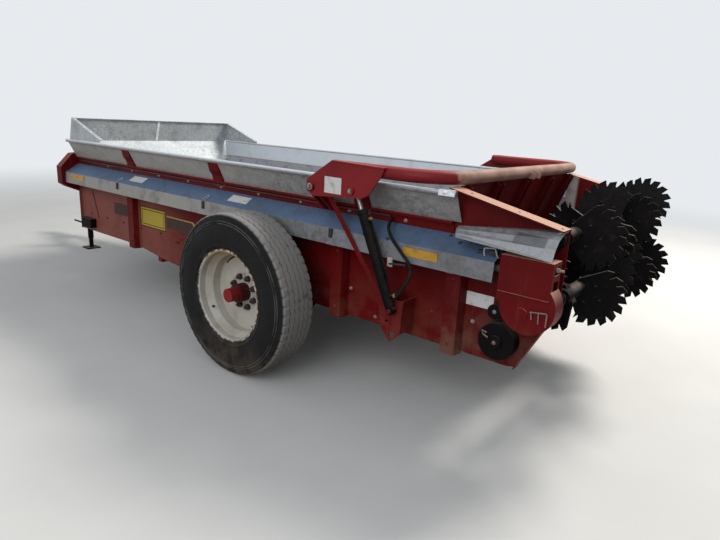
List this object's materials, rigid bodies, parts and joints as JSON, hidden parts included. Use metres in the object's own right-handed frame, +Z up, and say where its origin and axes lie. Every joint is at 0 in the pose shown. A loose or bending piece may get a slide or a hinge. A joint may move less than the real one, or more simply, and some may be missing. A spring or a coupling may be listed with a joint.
{
  "type": "manure spreader",
  "caption": "Towed manure spreader with flared box, floor chain, toothed rear rotors and a lifting endgate.",
  "frame": {"origin": "on the ground under the middle of the machine's bounding box", "axes": "+X forward to the hitch, +Y to the machine's left, +Z up"},
  "size_m": [6.6288, 2.586, 1.512],
  "materials": {
    "red": "worn satin paint",
    "galvanised": "dull spangled zinc",
    "black": "satin paint",
    "bare_steel": "worn and rusty",
    "rod_chrome": "polished",
    "rubber": "matte",
    "tyre": "dusty",
    "rim_paint": "faded gloss"
  },
  "bodies": {
    "frame": {"side_left": "red", "side_right": "red", "floor": "bare_steel", "front_wall": "galvanised", "splash_board": "galvanised", "flare_left": "galvanised", "flare_right": "galvanised", "rail_left": "red", "rail_right": "red", "axle": "red", "tongue": "red", "jack": "black", "driveline_cover": "galvanised", "driveline": "bare_steel", "front_case": "red", "pto_input": "bare_steel", "rear_plate_left": "red", "rear_plate_right": "red", "rear_case": "red", "deflector": "galvanised", "cross_beams": "red", "hydraulic_lines": "bare_steel", "apron": "bare_steel", "apron_shafts": "bare_steel", "apron_gearbox": "black", "rotor_bearings": "black", "gate_mounts": "red", "cylinder_feet": "red", "control_valve": "black"},
    "wheel_left": {"tyre_left": "tyre", "rim_left": "rim_paint", "hub_left": "red"},
    "wheel_right": {"tyre_right": "tyre", "rim_right": "rim_paint", "hub_right": "red"},
    "rotor_upper": {"rotor_upper": "black"},
    "rotor_lower": {"rotor_lower": "black"},
    "endgate": {"gate_frame": "red", "gate_panel": "red"},
    "barrel_left": {"barrel_left": "black", "hose_left": "rubber"},
    "rod_left": {"rod_left": "rod_chrome"},
    "barrel_right": {"barrel_right": "black", "hose_right": "rubber"},
    "rod_right": {"rod_right": "rod_chrome"}
  },
  "joints": [
    {"name": "wheel_left_spin", "type": "hinge", "parent": "frame", "child": "wheel_left", "pos_m": [-1.18558, 1.15, 0.522], "axis": [0, 1, 0], "continuous": true},
    {"name": "wheel_right_spin", "type": "hinge", "parent": "frame", "child": "wheel_right", "pos_m": [-1.18558, -1.15, 0.522], "axis": [0, 1, 0], "continuous": true},
    {"name": "rotor_upper_spin", "type": "hinge", "parent": "frame", "child": "rotor_upper", "pos_m": [-3.05058, 0, 1.155], "axis": [0, 1, 0], "continuous": true},
    {"name": "rotor_lower_spin", "type": "hinge", "parent": "frame", "child": "rotor_lower", "pos_m": [-3.08058, 0, 0.872], "axis": [0, 1, 0], "continuous": true},
    {"name": "endgate_lift", "type": "hinge", "parent": "frame", "child": "endgate", "pos_m": [-1.67158, 0, 1.252], "axis": [0, 1, 0], "range_deg": [0, 50]},
    {"name": "barrel_left_swing", "type": "hinge", "parent": "frame", "child": "barrel_left", "pos_m": [-2.25158, 1.004, 0.639], "axis": [0, 1, 0], "range_deg": [0, 0.519]},
    {"name": "rod_left_slide", "type": "slide", "parent": "barrel_left", "child": "rod_left", "axis": [0.414, 0, 0.9103], "range_m": [0, 0.2524]},
    {"name": "barrel_right_swing", "type": "hinge", "parent": "frame", "child": "barrel_right", "pos_m": [-2.25158, -1.004, 0.639], "axis": [0, 1, 0], "range_deg": [0, 0.519]},
    {"name": "rod_right_slide", "type": "slide", "parent": "barrel_right", "child": "rod_right", "axis": [0.414, 0, 0.9103], "range_m": [0, 0.2524]}
  ],
  "couplings": [
    {"joint": "barrel_left_swing", "follows": "endgate_lift", "ratio": 0.01019},
    {"joint": "rod_left_slide", "follows": "endgate_lift", "m_per_rad": 0.2886},
    {"joint": "barrel_right_swing", "follows": "endgate_lift", "ratio": 0.01019},
    {"joint": "rod_right_slide", "follows": "endgate_lift", "m_per_rad": 0.2886}
  ]
}
